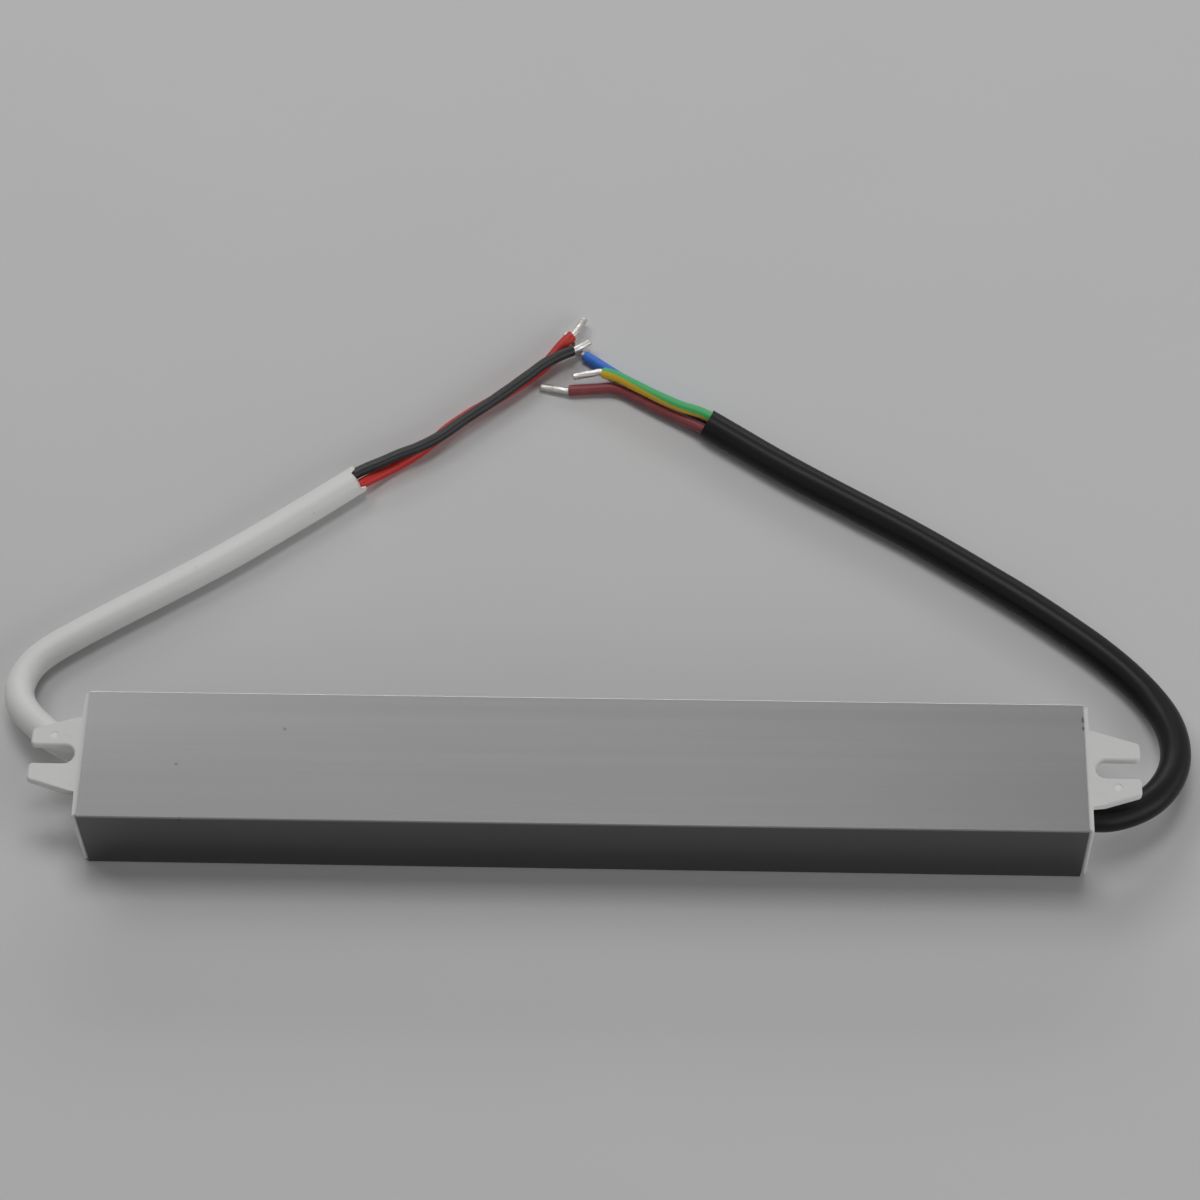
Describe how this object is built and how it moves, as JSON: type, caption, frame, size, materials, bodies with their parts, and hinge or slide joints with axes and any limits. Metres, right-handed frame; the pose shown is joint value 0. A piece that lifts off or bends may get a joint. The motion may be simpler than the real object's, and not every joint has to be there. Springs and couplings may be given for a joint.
{
  "type": "led driver",
  "caption": "Slim potted LED driver in a rectangular aluminium tube with white end caps, forked mounting ears, a mains cable and an output cable with stripped and tinned cores.",
  "frame": {"origin": "middle of the tube's plain face, on which the driver lies, left out of account the free cables", "axes": "+X along the tube towards the mains cable's end, +Z from the plain face towards the mounting face that is level with the ears, +Y to complete a right-handed frame"},
  "size_m": [0.2524, 0.1409, 0.02],
  "materials": {
    "housing_aluminium": "satin",
    "cap_plastic": "satin",
    "tie_nylon": "satin",
    "jacket_black": "satin",
    "jacket_white": "satin",
    "insulation_green_yellow": "satin",
    "insulation_brown": "satin",
    "insulation_blue": "satin",
    "insulation_black": "satin",
    "insulation_red": "satin",
    "tinned_copper": "satin",
    "board_laminate": "satin",
    "fuse_plastic": "satin",
    "disc_epoxy": "satin",
    "film_capacitor_plastic": "satin",
    "choke_ferrite": "satin",
    "enamelled_copper": "gloss",
    "package_epoxy": "matte",
    "capacitor_sleeve": "gloss",
    "resistor_lacquer": "satin",
    "transformer_ferrite": "matte",
    "bobbin_plastic": "matte",
    "winding_tape": "satin",
    "optocoupler_plastic": "matte",
    "potting_silicone": "matte"
  },
  "bodies": {
    "root": {"housing_tube": "housing_aluminium", "input_end_cap": "cap_plastic", "output_end_cap": "cap_plastic", "input_cable_tie": "tie_nylon", "output_cable_tie": "tie_nylon", "input_cable": "jacket_black", "output_cable": "jacket_white", "earth_core": "insulation_green_yellow", "live_core": "insulation_brown", "neutral_core": "insulation_blue", "negative_core": "insulation_black", "positive_core": "insulation_red", "earth_strands": "tinned_copper", "live_strands": "tinned_copper", "neutral_strands": "tinned_copper", "negative_strands": "tinned_copper", "positive_strands": "tinned_copper", "earth_lead": "insulation_green_yellow", "live_lead": "insulation_brown", "neutral_lead": "insulation_blue", "negative_lead": "insulation_black", "positive_lead": "insulation_red", "circuit_board": "board_laminate", "fuse": "fuse_plastic", "varistor": "disc_epoxy", "x_capacitor": "film_capacitor_plastic", "filter_choke_core": "choke_ferrite", "filter_choke_windings": "enamelled_copper", "bridge_rectifier": "package_epoxy", "storage_capacitor": "capacitor_sleeve", "snubber_resistor": "resistor_lacquer", "snubber_diode": "package_epoxy", "switching_transistor": "package_epoxy", "controller_chip": "package_epoxy", "transformer_core": "transformer_ferrite", "transformer_bobbin": "bobbin_plastic", "transformer_winding": "winding_tape", "optocoupler": "optocoupler_plastic", "y_capacitor": "disc_epoxy", "output_rectifier": "package_epoxy", "output_capacitor_1": "capacitor_sleeve", "output_capacitor_2": "capacitor_sleeve", "output_choke": "transformer_ferrite", "potting_compound": "potting_silicone"}
  },
  "joints": []
}
